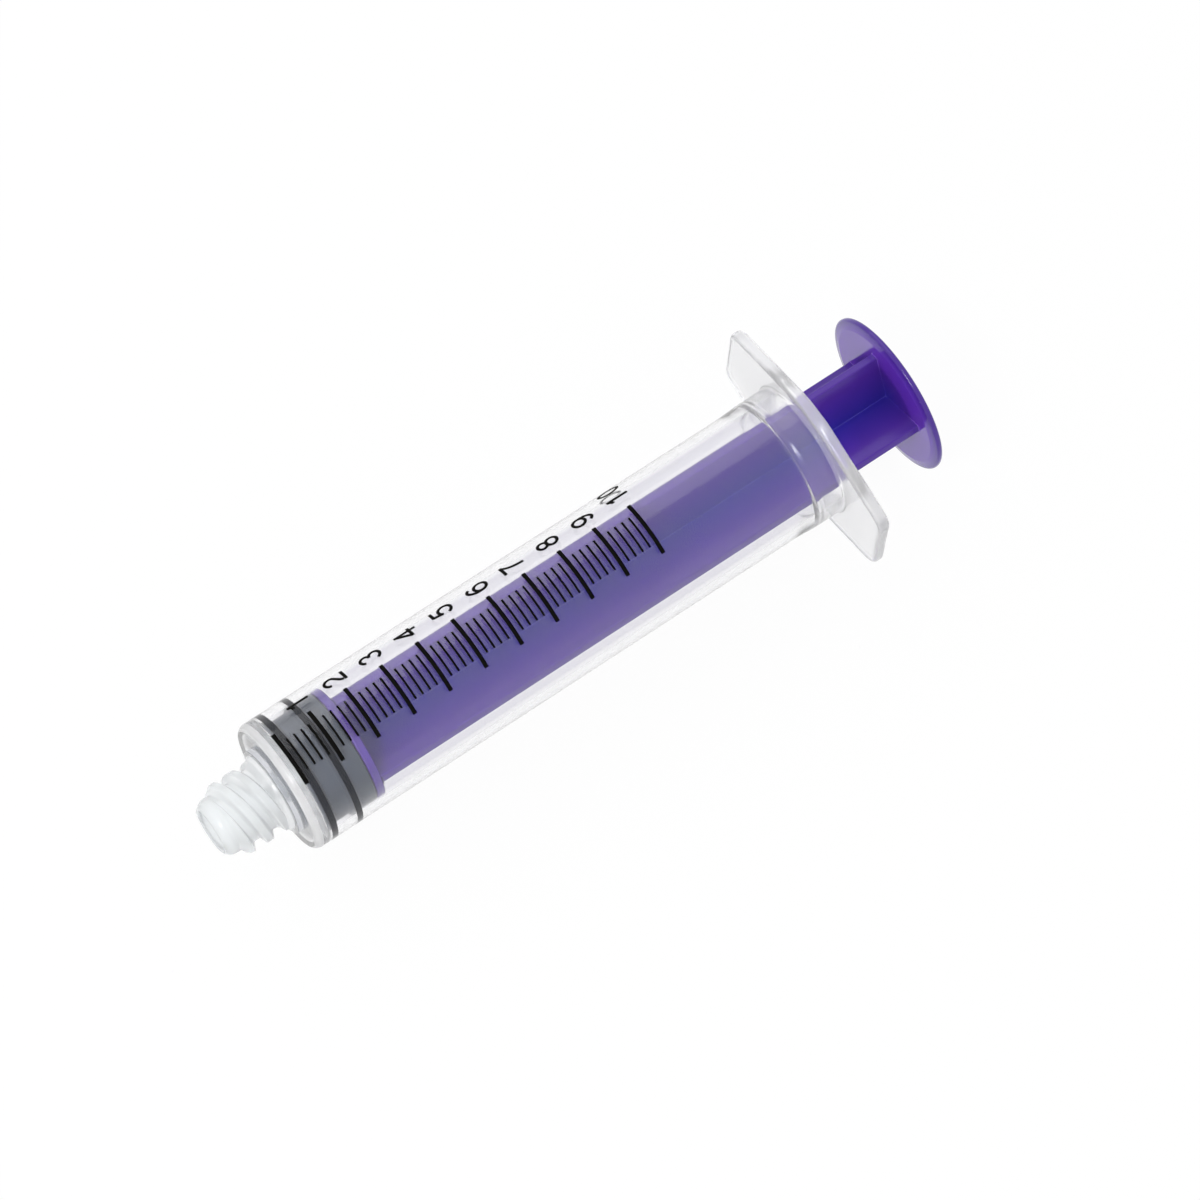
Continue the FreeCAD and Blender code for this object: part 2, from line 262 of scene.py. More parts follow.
print("tallest ridge:", thread_height(np.linspace(0, 9, 200)[:, None], np.linspace(0, 6, 90)).max())

# %% [markdown]
# ## Barrel: the finger flange's outline
# Seen along the axis, the flange is a circle with two straight-sided wings that end in flat
# tips. Its outline is four wing corners with a radius, and the round middle laid over them.

# %% Flange outline
FLANGE_REACH = 16.0
FLANGE_MIDDLE = 11.1
FLAT_REACH = 11.0
WING_TAPER = np.radians(19.3)
WING_CORNER = 2.0


def flange_outline():
    """Wing corners (y, z) with their radius, and the round middle with its short flat."""
    tip = (FLANGE_MIDDLE - FLANGE_REACH * np.sin(WING_TAPER)) / np.cos(WING_TAPER)
    upper = [(FLANGE_REACH, -tip, WING_CORNER), (FLANGE_REACH, tip, WING_CORNER)]
    flat = np.arccos(FLAT_REACH / FLANGE_MIDDLE)
    sweep = np.concatenate([
        np.linspace(-WING_TAPER, -flat, 7), np.linspace(flat, WING_TAPER, 7)])
    upper += [(-FLANGE_MIDDLE * np.sin(t), FLANGE_MIDDLE * np.cos(t), 0) for t in sweep]
    lower = [(-y, -z, radius) for y, z, radius in upper]
    return rounded(upper + lower, closed=True)


print("wing tip is", round(np.ptp(flange_outline()[:, 0]), 2), "mm from the other")

# %% [markdown]
# ## Barrel: one skin from the mouth round the flange and back
# The profile goes out over the nozzle, along the tube, round the flange, and back inside over
# the bead that stops the plunger, down the bore, through the floor and out of the socket. So
# the wall has its true thickness everywhere, which clear plastic needs: what is seen through it
# is bent twice.

# %% Barrel
FLANGE_X = BARREL_END - 1.65
COLLAR_R = BARREL_R + 0.18
COLLAR_SLOPE = (81.9, 84.7)
BEAD_X = FLANGE_X - 3.4
BEAD_HEIGHT = 0.25
BEAD_WIDTH = 1.5
FLOOR_X = NOSE_LENGTH + 0.6
FLOOR_EDGE_X = 11.5
FOOT_X = NOSE_LENGTH - 0.76
FOOT_R = 5.9
FLARE_R = FOOT_R - 0.68
LIP_ROUND = 1.65
MOUTH_R = 2.87
MOUTH_BEVEL = 0.25
SOCKET_DEPTH = 8.0
SOCKET_END_R = 2.63
PASSAGE_R = 1.4
AROUND = 320


def nose_profile():
    """The nozzle's outside: a rounded lip, the plain nose and the flare into the shoulder.

    The lip is part of a circle that starts at the mouth's outer edge and ends level with the
    nose. The rings lie 0.09 mm apart, close enough to draw the thread.
    """
    rise = MOUTH_R + MOUTH_BEVEL - (NOSE_R - LIP_ROUND)
    t = np.linspace(np.arcsin(rise / LIP_ROUND), np.pi / 2, 12)
    x = (LIP_ROUND ** 2 - rise ** 2) ** 0.5 - LIP_ROUND * np.cos(t)
    lip = np.stack([x, NOSE_R - LIP_ROUND + LIP_ROUND * np.sin(t)], axis=1)
    flare = rounded([
        (3.0, NOSE_R, 0), (7.3, NOSE_R, 1.2), (8.3, 5.0, 0.6), (FOOT_X, FLARE_R, 0)])
    return refined(np.vstack([lip, flare]), 0.09)


def bead_profile():
    """A smooth ridge inside the bore: one wave of a cosine, from trough to trough."""
    return [
        (BEAD_X - BEAD_WIDTH / 2 * v, BORE_R - BEAD_HEIGHT / 2 * (1 + np.cos(np.pi * v)), 0, 0)
        for v in np.linspace(-1, 1, 13)]


def shoulder_arc(radius=1.06, step=0.55):
    """The round edge of the shoulder: an arc that rises by step and runs out along the tube."""
    t = np.linspace(0, np.arccos(1 - step / radius), 9)[::-1]
    length = radius * np.sin(t[0])
    return [
        (NOSE_LENGTH + length - radius * np.sin(v), BARREL_R - radius * (1 - np.cos(v)), 0, 0)
        for v in t[1:]]


def barrel_profile():
    """The closed profile behind the nose.

    Each corner is (x, own radius, share of the flange's outline, size of its rounding). With
    share 1, an own radius of -0.9 lies 0.9 mm inside the flange's edge.
    """
    outside = [
        (FOOT_X, FLARE_R, 0, 0.1), (FOOT_X, FOOT_R, 0, 0.15),
        (NOSE_LENGTH, FOOT_R, 0, 0.08), (NOSE_LENGTH, BARREL_R - 0.55, 0, 0),
        *shoulder_arc(), (COLLAR_SLOPE[0], BARREL_R, 0, 8.0), (COLLAR_SLOPE[1], COLLAR_R, 0, 8.0),
        (FLANGE_X, COLLAR_R, 0, 0.35), (FLANGE_X, COLLAR_R + 1.2, 0, 0),
        (FLANGE_X, -0.9, 1, 0), (FLANGE_X, 0, 1, 0.55),
        (BARREL_END, 0, 1, 0.6), (BARREL_END, -0.9, 1, 0), (BARREL_END, COLLAR_R, 0, 0),
        (BARREL_END, BORE_R + 0.5, 0, 0.2), (BARREL_END - 1.0, BORE_R, 0, 0.6),
    ]
    inside = [
        (FLOOR_EDGE_X, BORE_R, 0, 0.3), (FLOOR_X, PASSAGE_R, 0, 0.3),
        (SOCKET_DEPTH, PASSAGE_R, 0, 0.2), (SOCKET_DEPTH, SOCKET_END_R, 0, 0.15),
        (MOUTH_BEVEL, MOUTH_R, 0, 0.15), (0.0, MOUTH_R + MOUTH_BEVEL, 0, 0),
    ]
    return held(rounded(outside + bead_profile() + inside))


def make_barrel():
    """The closed skin, with the thread's height added on the nose."""
    angles = np.linspace(0, 2 * np.pi, AROUND, endpoint=False)
    nose, rest = nose_profile(), barrel_profile()
    nose_x, plain = nose[:, 0:1], nose[:, 1:2]
    ridges = NOSE_R + thread_height(nose_x, angles)
    bare = (nose_x < FADE_START) | (ridges < NOSE_R + 0.001)
    nose_radius = np.where(bare, plain, np.maximum(plain, ridges))
    rest_radius = rest[:, 1:2] + rest[:, 2:3] * reach(flange_outline(), angles)
    x = np.concatenate([nose[:, 0], rest[1:, 0]])
    return skin("barrel_skin", x, np.vstack([nose_radius, rest_radius[1:]]), angles, closed=True)


barrel = make_barrel()

# %% [markdown]
# ## Piston seal
# The stopper is moulded rubber. Two rings are squeezed against the bore, and the rubber between
# them stands clear of it. Where a ring is pressed to the wall there is no air in between, so it
# looks darker than the rest. The rings reach a hair into the wall here to show that, and their
# rubber is painted darker too, as painted shade for the wall's missing reflection.

# %% Seal
RING_R = BORE_R + 0.02
RING_FLANK = 0.25
FRONT_RING = 0.9
REAR_RING = 0.8
RING_PITCH = 3.7
GROOVE_R = 7.25
SKIRT_R = 7.6
CONE_DEPTH = 1.37
LIP_R = 3.3
LIP_DEPTH = 2.4
POCKET_R = 4.6
POCKET_DEPTH = 3.6
HEAD_POINT = 1.1


def make_seal():
    """The turned skin of the stopper, from the tip of its cone to the bottom of its pocket.

    Each corner is (x, radius, size of its rounding). A ring rises on one flank, runs level and
    falls on the other flank.
    """
    front = SEAL_TIP + CONE_DEPTH
    rear = front + RING_PITCH
    lip, pocket = SEAL_END - LIP_DEPTH, SEAL_END - LIP_DEPTH - POCKET_DEPTH
    profile = held(rounded([
        (SEAL_TIP, CENTRE_R, 0), (front - 0.15, GROOVE_R, 0.2), (front, GROOVE_R, 0.05),
        (front + RING_FLANK, RING_R, 0.15), (front + RING_FLANK + FRONT_RING, RING_R, 0.15),
        (front + 2 * RING_FLANK + FRONT_RING, GROOVE_R, 0.15), (rear, GROOVE_R, 0.15),
        (rear + RING_FLANK, RING_R, 0.15), (rear + RING_FLANK + REAR_RING, RING_R, 0.12),
        (rear + 2 * RING_FLANK + REAR_RING, SKIRT_R, 0.1), (SEAL_END, SKIRT_R, 0.25),
        (SEAL_END, LIP_R, 0.2), (lip, LIP_R, 0.2), (lip, POCKET_R, 0.2),
        (pocket, POCKET_R, 0.3), (pocket - HEAD_POINT, CENTRE_R, 0)]))
    angles = np.linspace(0, 2 * np.pi, 192, endpoint=False)
    radius = np.repeat(profile[:, 1:2], len(angles), axis=1)
    return skin("seal_skin", profile[:, 0], radius, angles, closed=False)


seal = make_seal()

# %% [markdown]
# ## Plunger rod
# The rod is a cross of four thin ribs, stiff for little plastic, between a head that clips into
# the seal and a thumb disc. The ribs' outline is the cross, and the discs are circles, so the
# same mix of circle and outline makes the whole rod in one skin.

# %% Rod
RIB_REACH = 7.5
RIB_THICK = 1.15
RIB_TURN = np.radians(24.0)
HEAD_R = 4.52
NECK_R = 3.22
HEAD_BACK = 2.5
DISC_R = 7.66
DISC_THICK = 1.1
THUMB_R = 10.95
THUMB_THICK = 2.0
THUMB_WEB = 1.0


def cross_outline():
    """Two crossed ribs: twelve corners, the outer ones rounded and the inner ones filleted."""
    half = RIB_THICK / 2
    arm = np.array([(RIB_REACH, -half), (RIB_REACH, half), (half, half)])
    radii = (0.2, 0.2, 0.12)
    corners = []
    for quarter in range(4):
        t = np.pi / 2 - RIB_TURN + quarter * np.pi / 2
        turned = arm @ np.array([[np.cos(t), np.sin(t)], [-np.sin(t), np.cos(t)]])
        corners += [(*place, radius) for place, radius in zip(turned, radii)]
    return rounded(corners, closed=True, steps=4)


def rod_profile():
    """The rod from head to thumb disc.

    Each corner is (x, own radius, share of the cross's outline, size of its rounding). The small
    own radii next to share 1 are the fillets where the ribs stand on the two discs.
    """
    neck = SEAL_END - HEAD_BACK
    disc = SEAL_END + 0.1
    ribs = disc + DISC_THICK
    web = THUMB_FACE - THUMB_THICK + THUMB_WEB
    corners = [
        (HEAD_TIP, CENTRE_R, 0, 0), (HEAD_TIP + HEAD_POINT, HEAD_R, 0, 0.3),
        (neck, HEAD_R, 0, 0.15), (neck, NECK_R, 0, 0.15), (disc, NECK_R, 0, 0.1),
        (disc, DISC_R, 0, 0.25), (ribs, DISC_R, 0, 0.25), (ribs, RIB_REACH - 0.1, 0, 0),
        (ribs, 0.25, 1, 0), (ribs, 0.1, 1, 0), (ribs + 0.03, 0.03, 1, 0), (ribs + 0.1, 0, 1, 0),
        (web - 0.5, 0, 1, 0), (web - 0.1, 0.04, 1, 0), (web, 0.2, 1, 0),
        (web, RIB_REACH + 0.4, 0, 0), (web, 9.6, 0, 0.5), (web + 0.28, THUMB_R, 0, 0.33),
        (THUMB_FACE, THUMB_R, 0, 0.36), (THUMB_FACE, 9.9, 0, 0), (THUMB_FACE, CENTRE_R, 0, 0),
    ]
    return held(rounded(corners))


def make_rod():
    """Skin of the rod, with directions set at the cross's own corners and every 3 degrees."""
    outline = cross_outline()
    corners = np.arctan2(outline[:, 1], outline[:, 0]) % (2 * np.pi)
    angles = np.union1d(corners.round(4), np.linspace(0, 2 * np.pi, 120, endpoint=False).round(4))
    profile = rod_profile()
    radius = profile[:, 1:2] + profile[:, 2:3] * reach(outline, angles)
    return skin("rod_skin", profile[:, 0], radius, angles, closed=False)


rod = make_rod()

# %% [markdown]
# ## Printed scale
# The scale is pad-printed on the barrel, about a hundredth of a millimetre thick. Each mark is a
# strip bent round the barrel. Places on the print are (x, way round from the top), both in
# millimetres on the barrel's surface, so a mark can be drawn as if on flat paper.

# %% Ink marks
ML_STEP = 5.259
FIRST_LINE_X = 11.6
INK_R = BARREL_R + 0.01
INK_DEPTH = 0.03
LINES_PER_ML = 5
LONG_LINE, LONG_WIDTH = (-26.1, 23.8), 0.55
SHORT_LINE, SHORT_WIDTH = (-16.6, 13.6), 0.28


def strip(centre, width):
    """A band along a centre line on the flat print: its left edge, then its right edge.

    At each point the band's edge lies half a width away along the mean of the two sides'
    normals, lengthened so that the sides stay parallel.
    """
    side = np.diff(centre, axis=0)
    normal = np.stack([-side[:, 1], side[:, 0]], axis=1)
    normal /= np.linalg.norm(normal, axis=1)[:, None]
    before, after = np.vstack([normal[:1], normal]), np.vstack([normal, normal[-1:]])
    mean = (before + after) / np.linalg.norm(before + after, axis=1)[:, None]
    offset = mean * width / 2 / (mean * after).sum(axis=1)[:, None]
    return centre + offset, centre - offset


def ink_piece(name, strips):
    """One mesh of bands laid on the barrel: angle from the top = way round / radius."""
    places, faces, count = [], [], 0
    for left, right in strips:
        flat = np.vstack([left, right])
        angle = flat[:, 1] / BARREL_R
        places.append(np.stack([flat[:, 0], INK_R * np.sin(angle), INK_R * np.cos(angle)], axis=1))
        n = np.arange(len(left) - 1) + count
        m = n + len(left)
        faces += np.stack([n, n + 1, m + 1, m], axis=1).tolist()
        count += len(flat)
    piece = new_piece(name, np.vstack(places), faces)
    solid = piece.modifiers.new("ink_film", "SOLIDIFY")
    solid.thickness = INK_DEPTH * MM
    solid.offset = -1
    return piece


def scale_lines():
    """A long thick line at each millilitre and four short thin ones after each but the last.

    A line's ends are angles from the top, in degrees.
    """
    marks = []
    for tick in range(10 * LINES_PER_ML + 1):
        long = tick % LINES_PER_ML == 0
        ends, width = (LONG_LINE, LONG_WIDTH) if long else (SHORT_LINE, SHORT_WIDTH)
        way = np.linspace(*(np.radians(ends) * BARREL_R), 40)
        x = FIRST_LINE_X + tick * ML_STEP / LINES_PER_ML
        marks.append(strip(np.stack([np.full(len(way), x), way], axis=1), width))
    return marks


lines = ink_piece("scale_lines", scale_lines())

# %% [markdown]
# ## Numbers
# The numbers are plain grotesque figures of even stroke. Each is a few strokes: straight runs
# and parts of ellipses in a box one unit wide and one high. A font would do too, but its flat
# faces would cut into the round barrel, and drawn strokes bend with it.

# %% Digit strokes
DIGIT_W = 1.98
DIGIT_H = 3.13
PEN = 0.43
AHEAD = 0.22
NUMBER_ANGLE = 32.1
TEN_ANGLES = (31.5, 50.8)


def bow(cx, cy, a, b, start, end):
    """Part of an ellipse about (cx, cy), from one angle to another in degrees."""
    t = np.radians(np.linspace(start, end, 28))
    return np.stack([cx + a * np.cos(t), cy + b * np.sin(t)], axis=1)


def run(*points):
    """A straight run through points, cut fine enough to bend round the barrel."""
    path = np.array(points, float)
    return refined(path, 0.12)


def joined(*parts):
    """Parts of a stroke, drawn without lifting the pen."""
    return np.vstack(parts)


SIX = [
    bow(0.5, 0.315, 0.5, 0.315, 0, 360),
    joined(bow(0.56, 0.46, 0.56, 0.54, 190, 100), bow(0.5, 0.74, 0.42, 0.26, 88, 25)),
]
DIGITS = {
    "0": [bow(0.5, 0.5, 0.5, 0.5, 0, 360)],
    "1": [run((0.66, -0.07), (0.66, 1.07)), joined(bow(0.2, 1.06, 0.42, 0.27, 0, -82))],
    "2": [
        joined(bow(0.5, 0.7, 0.48, 0.3, 170, -35), bow(0.72, 0.02, 0.7, 0.36, 118, 168)),
        run((-0.12, 0.0), (1.12, 0.0)),
    ],
    "3": [bow(0.47, 0.755, 0.43, 0.245, 165, -80), bow(0.47, 0.265, 0.5, 0.265, 88, -165)],
    "4": [run((0.74, -0.07), (0.74, 1.07)), run((0.72, 0.97), (0.0, 0.28)),
          run((-0.12, 0.26), (1.14, 0.26))],
    "5": [run((1.0, 1.0), (0.13, 1.0)), run((0.22, 1.0), (0.08, 0.48)),
          bow(0.46, 0.325, 0.53, 0.325, 145, -160)],
    "6": SIX,
    "7": [run((-0.12, 1.0), (1.12, 1.0)), bow(1.3, -0.06, 1.0, 1.09, 108, 180)],
    "8": [bow(0.5, 0.76, 0.42, 0.24, 0, 360), bow(0.5, 0.27, 0.5, 0.27, 0, 360)],
    "9": [1 - stroke for stroke in SIX],
}


def digit_strips(digit, x, way):
    """A digit's strokes on the print: read along the way round, with its top to the nozzle."""
    marks = []
    for stroke in DIGITS[digit]:
        across = way + PEN / 2 + stroke[:, 0] * (DIGIT_W - PEN)
        up = x + (0.5 - stroke[:, 1]) * (DIGIT_H - PEN)
        marks.append(strip(np.stack([up, across], axis=1), PEN))
    return marks


def scale_numbers():
    """The numbers 1 to 10, each a little ahead of its line and from its own angle on."""
    places = [(str(number), number, NUMBER_ANGLE) for number in range(1, 10)]
    places += [(digit, 10, angle) for digit, angle in zip("10", TEN_ANGLES)]
    marks = []
    for digit, number, angle in places:
        x = FIRST_LINE_X + number * ML_STEP - AHEAD
        marks += digit_strips(digit, x, np.radians(angle) * BARREL_R)
    return marks


numbers = ink_piece("scale_numbers", scale_numbers())

# %% [markdown]
# ## Finishes
# Colours are written as sRGB hex, as a colour picker shows them, and one function turns them to
# the linear values that a shader works in.

# %% Node helpers
def linear(hex_colour):
    """Linear RGBA of an sRGB hex colour: c / 12.92 when dark, else ((c + 0.055) / 1.055)^2.4."""
    c = np.array([int(hex_colour[i:i + 2], 16) for i in (1, 3, 5)]) / 255
    c = np.where(c <= 0.04045, c / 12.92, ((c + 0.055) / 1.055) ** 2.4)
    return (*c.tolist(), 1.0)


def add_node(material, kind, settings=None, **links):
    """A node of that kind: settings are its inputs or properties, links feed its inputs.

    A link is named for its input, with _ for a space, or _0, _1 for an input's number.
    """
    node = material.node_tree.nodes.new(kind)
    for key, value in (settings or {}).items():
        if key in node.inputs:
            node.inputs[key].default_value = value
        else:
            setattr(node, key, value)
    for key, source in links.items():
        socket = int(key[1:]) if key[1:].isdigit() else key.replace("_", " ")
        material.node_tree.links.new(source, node.inputs[socket])
    return node


def new_material(name):
    """An empty material and its output node."""
    material = bpy.data.materials.new(name)
    material.use_nodes = True
    material.node_tree.nodes.clear()
    return material, add_node(material, "ShaderNodeOutputMaterial")


def moulded_bump(material, grain_mm, depth_mm):
    """Faint unevenness of a moulded surface, with waves about grain_mm long."""
    place = add_node(material, "ShaderNodeTexCoord")
    noise = add_node(
        material, "ShaderNodeTexNoise", {"Scale": 1 / (grain_mm * MM), "Detail": 2.0},
        Vector=place.outputs["Object"])
    return add_node(
        material, "ShaderNodeBump", {"Strength": 1.0, "Distance": depth_mm * MM},
        Height=noise.outputs["Fac"])


# %% [markdown]
# ## Clear polypropylene
# Polypropylene is clear but never as clear as glass: tiny crystals in it scatter some light, and
# the thicker the wall, the milkier it looks. The outside is polished by the mould. The bore is
# duller, from its core pin, and lays a pale veil over the violet rod. The thick nozzle and the
# rim of the shoulder are milky, and the flange and the collar lie between. One mesh takes all
# these finishes: each face picks one by its place and by the way it looks.
# Lamps shine straight through the barrel, so that what is inside is lit, as in the real one.

# %% Clear finishes
def clear_plastic(name, clear, roughness, tint):
    """Principled glass, of which the share that isn't clear is white and dull.

    A shadow ray sees a plain pale veil instead, so that the wall casts nearly no shadow.
    """
    material, out = new_material(name)
    bump = moulded_bump(material, 9.0, 0.0008)
    body = add_node(material, "ShaderNodeBsdfPrincipled", {
        "Base Color": linear(tint), "Roughness": roughness, "IOR": 1.49,
        "Transmission Weight": clear}, Normal=bump.outputs["Normal"])
    through = add_node(material, "ShaderNodeBsdfTransparent", {"Color": linear("#F4F4F6")})
    path = add_node(material, "ShaderNodeLightPath")
    mix = add_node(
        material, "ShaderNodeMixShader", None, _0=path.outputs["Is Shadow Ray"],
        _1=body.outputs[0], _2=through.outputs[0])
    material.node_tree.links.new(mix.outputs[0], out.inputs["Surface"])
    return material


# name, share that is clear, roughness, colour
CLEAR_FINISHES = (
    ("polished", 0.99, 0.04, "#FBFBFC"),
    ("milky", 0.56, 0.20, "#F5F7F8"),
    ("floor", 0.88, 0.25, "#F8F9FB"),
    ("bead", 0.92, 0.18, "#FCFCFD"),
    # The faint violet in the bore's veil is painted light: it stands in for light that the violet
    # rod throws onto the wall.
    ("core_side", 0.972, 0.08, "#F9F8FC"),
    ("rim", 0.55, 0.22, "#F4F4F5"),
    ("flange_edge", 0.70, 0.08, "#FDFDFE"),
    ("flange", 0.80, 0.14, "#FCFCFD"),
    # The grey of the nozzle's base ring is painted shade: thick plastic lets less light through
    # there, and the colour stands in for that.
    ("foot_painted_grey", 0.80, 0.20, "#C6C9D0"),
    ("face", 0.90, 0.12, "#FAFAFB"),
    ("collar", 0.955, 0.10, "#FBFBFC"),
)


def of_faces(piece, what):
    """The centre or the normal of each face, as an array."""
    rows = np.zeros(len(piece.data.polygons) * 3)
    piece.data.polygons.foreach_get(what, rows)
    return rows.reshape(-1, 3)


def zone_of_barrel(piece):
    """Which finish each face takes, as its place in CLEAR_FINISHES.

    The first zone that a face lies in counts, and a face in none of them is polished.
    """
    centre, normal = of_faces(piece, "center") / MM, of_faces(piece, "normal")
    x, radius = centre[:, 0], np.hypot(centre[:, 1], centre[:, 2])
    ahead = normal[:, 0]
    bore = (radius < BORE_R + 0.01) & (x > FLOOR_X) & (x < BARREL_END)
    zones = {
        "milky": (radius < FOOT_R - 0.5) & (x < FLOOR_X),
        "floor": bore & (x < FLOOR_X + 1.7),
        "bead": bore & (x > BEAD_X - 1.7),
        "core_side": bore,
        "rim": (radius > BARREL_R - 0.5) & (x < NOSE_LENGTH + 1.2),
        "flange_edge": (x > FLANGE_X) & (radius > COLLAR_R) & (np.abs(ahead) < 0.9),
        "flange": x > FLANGE_X - 0.4,
        # Side faces of the nozzle's base ring take the grey, painted-shade finish.
        "foot_painted_grey": (x > FOOT_X) & (x < NOSE_LENGTH) & (np.abs(ahead) < 0.7),
        "face": (radius > FOOT_R) & (x < NOSE_LENGTH + 0.4) & (ahead < -0.7),
        "collar": x > BEAD_X - 1.5,
    }
    names = [name for name, *_ in CLEAR_FINISHES]
    return np.select(
        list(zones.values()), [names.index(name) for name in zones], 0).astype(np.int32)


for name, clear, roughness, tint in CLEAR_FINISHES:
    barrel.data.materials.append(clear_plastic(f"polypropylene_{name}", clear, roughness, tint))
barrel_zones = zone_of_barrel(barrel)
barrel.data.polygons.foreach_set("material_index", barrel_zones)
print("faces in each zone:", np.bincount(barrel_zones))

# %% [markdown]
# ## Violet polypropylene, rubber and ink
# The rod is dyed through and comes glossy from its mould. The flat thumb disc is the glossiest
# part: seen at a flat angle it mirrors the white room, and beside the ribs it mirrors them. Its
# violet is also painted with light: darker near the axis as painted shade between the ribs, and
# a paler ring on the disc as a painted sheen. The seal is grey rubber with a film of silicone,
# which makes its gloss soft. Where its rings are pressed to the wall, the gloss is gone, and
# their rubber is painted darker as painted shade. The ink is dry and nearly black.

# %% Other finishes
def moulded_colour(name, colour, roughness, grain_mm, depth_mm, extra=None):
    """An opaque moulding with a faint unevenness in its gloss."""
    material, out = new_material(name)
    bump = moulded_bump(material, grain_mm, depth_mm)
    body = add_node(material, "ShaderNodeBsdfPrincipled", {
        "Base Color": linear(colour), "Roughness": roughness, "IOR": 1.49,
        **(extra or {})}, Normal=bump.outputs["Normal"])
    material.node_tree.links.new(body.outputs[0], out.inputs["Surface"])
    return material


def dyed_plastic(name, stops, roughness, specular):
    """Violet painted with light by distance from the axis: stops are distances in mm and colours.

    The colour is painted light, not a change in the dye. On the ribs it is darker at the root,
    as painted shade between the ribs, and lighter and redder towards the ends, as painted light
    through the thin ribs. On the thumb disc's web a paler ring is a painted sheen, and the middle
    between the ribs is painted shade. The distance is the length of the place with its x set to
    0, and a colour ramp turns it to a colour.
    """
    material, out = new_material(name)
    bump = moulded_bump(material, 5.0, 0.004)
    place = add_node(material, "ShaderNodeTexCoord")
    across = add_node(
        material, "ShaderNodeVectorMath", {"operation": "MULTIPLY"}, _0=place.outputs["Object"])
    across.inputs[1].default_value = (0, 1, 1)
    away = add_node(
        material, "ShaderNodeVectorMath", {"operation": "LENGTH"}, _0=across.outputs[0])
    share = add_node(
        material, "ShaderNodeMapRange", {"From Max": THUMB_R * MM}, Value=away.outputs["Value"])
    ramp = add_node(material, "ShaderNodeValToRGB", Fac=share.outputs["Result"])
    marks = ramp.color_ramp.elements
    marks.remove(marks[1])
    marks[0].position, marks[0].color = stops[0][0] / THUMB_R, linear(stops[0][1])
    for away_mm, colour in stops[1:]:
        marks.new(away_mm / THUMB_R).color = linear(colour)
    body = add_node(
        material, "ShaderNodeBsdfPrincipled",
        {"Roughness": roughness, "IOR": 1.49, "Specular IOR Level": specular},
        Base_Color=ramp.outputs["Color"], Normal=bump.outputs["Normal"])
    material.node_tree.links.new(body.outputs[0], out.inputs["Surface"])
    return material


# The rod's violet is painted light: darker at the root as painted shade between the ribs, lighter
# and redder at the rib ends as painted light through them.
rod.data.materials.append(dyed_plastic(
    "polypropylene_violet", ((1.0, "#322795"), (6.0, "#4B2793")), 0.25, 0.35))
# The disc's colours are painted light: the paler ring from 6.5 to 9.3 mm is a painted sheen, the
# darker middle is painted shade between the ribs, and it grows darker towards the rim.
rod.data.materials.append(dyed_plastic("polypropylene_violet_disc", (
    (1.0, "#322795"), (5.5, "#4B2793"), (6.5, "#6131AF"), (9.3, "#6131AF"), (9.9, "#5A33A6"),
    (10.8, "#43218A")), 0.14, 0.5))
on_disc = of_faces(rod, "center")[:, 0] / MM > THUMB_FACE - THUMB_THICK + THUMB_WEB - 0.05
rod.data.polygons.foreach_set("material_index", on_disc.astype(np.int32))
seal.data.materials.append(moulded_colour(
    "rubber_siliconed", "#35404F", 0.38, 1.5, 0.004, {"Specular IOR Level": 0.4}))
# A darker copy of the same rubber is painted on the rings where they touch the wall: painted shade
# for the reflection and veil that the wall lacks there.
seal.data.materials.append(moulded_colour(
    "rubber_pressed_painted_dark", "#0D1220", 0.6, 1.5, 0.004, {"Specular IOR Level": 0.0}))
# The ring faces that touch the wall take the painted-shade rubber.
seal_centre = of_faces(seal, "center") / MM
pressed = np.hypot(seal_centre[:, 1], seal_centre[:, 2]) > RING_R - 0.08
print("pressed faces:", pressed.sum(), "faces of the thumb disc:", on_disc.sum())
seal.data.polygons.foreach_set("material_index", pressed.astype(np.int32))
ink = moulded_colour(
    "pad_print_ink", "#0A0907", 0.6, 0.4, 0.001, {"Specular IOR Level": 0.05})
for marks in (lines, numbers):
    marks.data.materials.append(ink)

# %% [markdown]
# ## What moves with what
# The skins stand for the three nodes of the frame and ride on their bodies. The print rides on
# the barrel.

# %% Bodies
for piece, body, slot_name in (
        (barrel, "barrel", "clear_plastic"), (seal, "piston_seal", "seal_rubber"),
        (rod, "plunger_rod", "violet_plastic"), (lines, "barrel", "scale_ink"),
        (numbers, "barrel", "scale_ink")):
    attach(piece, body)
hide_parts("barrel")
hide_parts("piston_seal")
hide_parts("plunger_rod")

# %% [markdown]
# ## Floor, light and camera
# The floor is pale and keeps a faint shadow. To the camera, in gloss and through clear plastic
# it is nearly white, which gives the plain studio look without more light on the syringe. A long
# key lamp draws the bright lines on the rounded edges, and a broad one fills the shadows.

# %% Floor
PAPER_WHITE_SHARE = 0.95


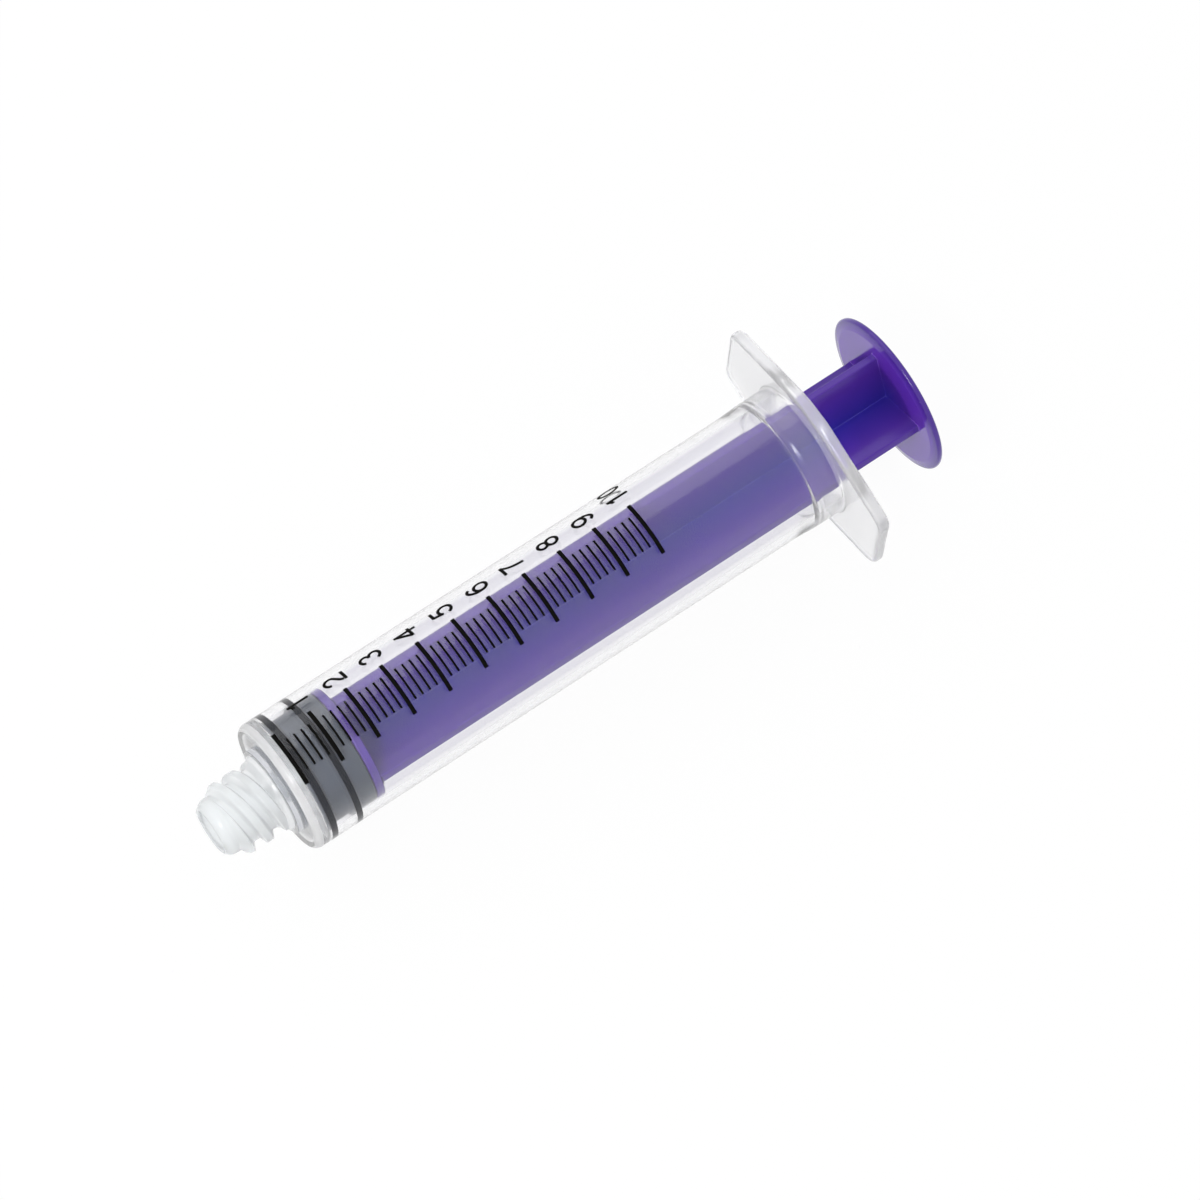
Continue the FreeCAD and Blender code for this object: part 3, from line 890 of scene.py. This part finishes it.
def make_floor(size=1.2):
    """A square under the syringe's lowest point, dull to light and white to the eye."""
    low = cad_box[0][2]
    h = size / 2
    mesh = bpy.data.meshes.new("floor")
    mesh.from_pydata([(-h, -h, low), (h, -h, low), (h, h, low), (-h, h, low)], [], [(0, 1, 2, 3)])
    floor = bpy.data.objects.new("floor", mesh)
    bpy.context.scene.collection.objects.link(floor)
    material, out = new_material("paper_white")
    dull = add_node(material, "ShaderNodeBsdfDiffuse", {"Color": linear("#F2F2F2")})
    white = add_node(material, "ShaderNodeEmission", {"Color": (1, 1, 1, 1), "Strength": 1.0})
    path = add_node(material, "ShaderNodeLightPath")
    seen = path.outputs["Is Camera Ray"]
    for kind in ("Is Glossy Ray", "Is Transmission Ray"):
        seen = add_node(
            material, "ShaderNodeMath", {"operation": "MAXIMUM"}, _0=seen, _1=path.outputs[kind]
        ).outputs[0]
    share = add_node(
        material, "ShaderNodeMath", {"operation": "MULTIPLY"}, _0=seen)
    share.inputs[1].default_value = PAPER_WHITE_SHARE
    mix = add_node(
        material, "ShaderNodeMixShader", None, _0=share.outputs[0],
        _1=dull.outputs[0], _2=white.outputs[0])
    material.node_tree.links.new(mix.outputs[0], out.inputs["Surface"])
    mesh.materials.append(material)


make_floor()

# %% Light
ROOM_LIGHT = 0.84


def make_world():
    """An even pale room that lights softly and is white to the camera and through the barrel."""
    world = bpy.data.worlds.new("studio")
    world.use_nodes = True
    world.node_tree.nodes.clear()
    out = add_node(world, "ShaderNodeOutputWorld")
    path = add_node(world, "ShaderNodeLightPath")
    seen = add_node(
        world, "ShaderNodeMath", {"operation": "MAXIMUM"},
        _0=path.outputs["Is Camera Ray"], _1=path.outputs["Is Transmission Ray"])
    strength = add_node(world, "ShaderNodeMapRange", {"To Min": ROOM_LIGHT, "To Max": 1.0})
    world.node_tree.links.new(seen.outputs[0], strength.inputs["Value"])
    sky = add_node(world, "ShaderNodeBackground", {"Color": (1, 1, 1, 1)},
                   Strength=strength.outputs["Result"])
    world.node_tree.links.new(sky.outputs[0], out.inputs["Surface"])
    bpy.context.scene.world = world


def add_lamp(name, place, target, size, power):
    """A soft lamp, so wide across the syringe and so long along it, turned to a target."""
    data = bpy.data.lights.new(name, "AREA")
    data.shape = "RECTANGLE"
    data.size, data.size_y = size
    data.energy = power
    lamp = bpy.data.objects.new(name, data)
    bpy.context.scene.collection.objects.link(lamp)
    lamp.location = place
    away = Vector(place) - Vector(target)
    lamp.rotation_euler = away.to_track_quat("Z", "Y").to_euler()


make_world()
add_lamp("key", (-0.28, -0.12, 0.485), (0.05, 0, 0), (0.22, 0.05), 1.1)
add_lamp("fill", (0.1, 0.45, 0.4), (0.05, 0, 0), (0.5, 0.5), 0.6)

# %% [markdown]
# ## Camera
# The view is the photograph's. Three turns set it: the view first looks square at the syringe,
# turned about its axis; then it swings, so that the nozzle comes nearer; then it rolls, so that
# the syringe rises to the right.

# %% Camera
TURN, SWING, ROLL = np.radians((16.5, 13.554, 32.93))
DISTANCE = 0.7592
PICTURE_PX = 1200
PX_PER_MM = 8.047
AIM_X = 85.018
AIM_PX = np.array([778.94, 464.27])
SENSOR_MM = 36.0


def make_camera():
    """Camera at the end of the line of sight through the aim point, which lands on AIM_PX."""
    across = np.array([0, -np.cos(TURN), -np.sin(TURN)])
    facing = np.array([0, -np.sin(TURN), np.cos(TURN)])
    along = np.array([1.0, 0, 0])
    level = np.cos(SWING) * along + np.sin(SWING) * facing
    back = np.cos(SWING) * facing - np.sin(SWING) * along
    right = np.cos(ROLL) * level + np.sin(ROLL) * across
    down = np.cos(ROLL) * across - np.sin(ROLL) * level
    off = (AIM_PX - PICTURE_PX / 2) / PX_PER_MM * MM
    place = AIM_X * MM * along - off[0] * right - off[1] * down + DISTANCE * back
    data = bpy.data.cameras.new("view")
    data.sensor_width = SENSOR_MM
    data.lens = PX_PER_MM * DISTANCE / MM / PICTURE_PX * SENSOR_MM
    camera = bpy.data.objects.new("view", data)
    bpy.context.scene.collection.objects.link(camera)
    turned = np.eye(4)
    turned[:3] = np.stack([right, -down, back, place], axis=1)
    camera.matrix_world = Matrix(turned.tolist())
    bpy.context.scene.camera = camera
    print(f"lens {data.lens:.1f} mm at {place.round(3)}")


make_camera()
bpy.context.scene.view_settings.view_transform = "Standard"
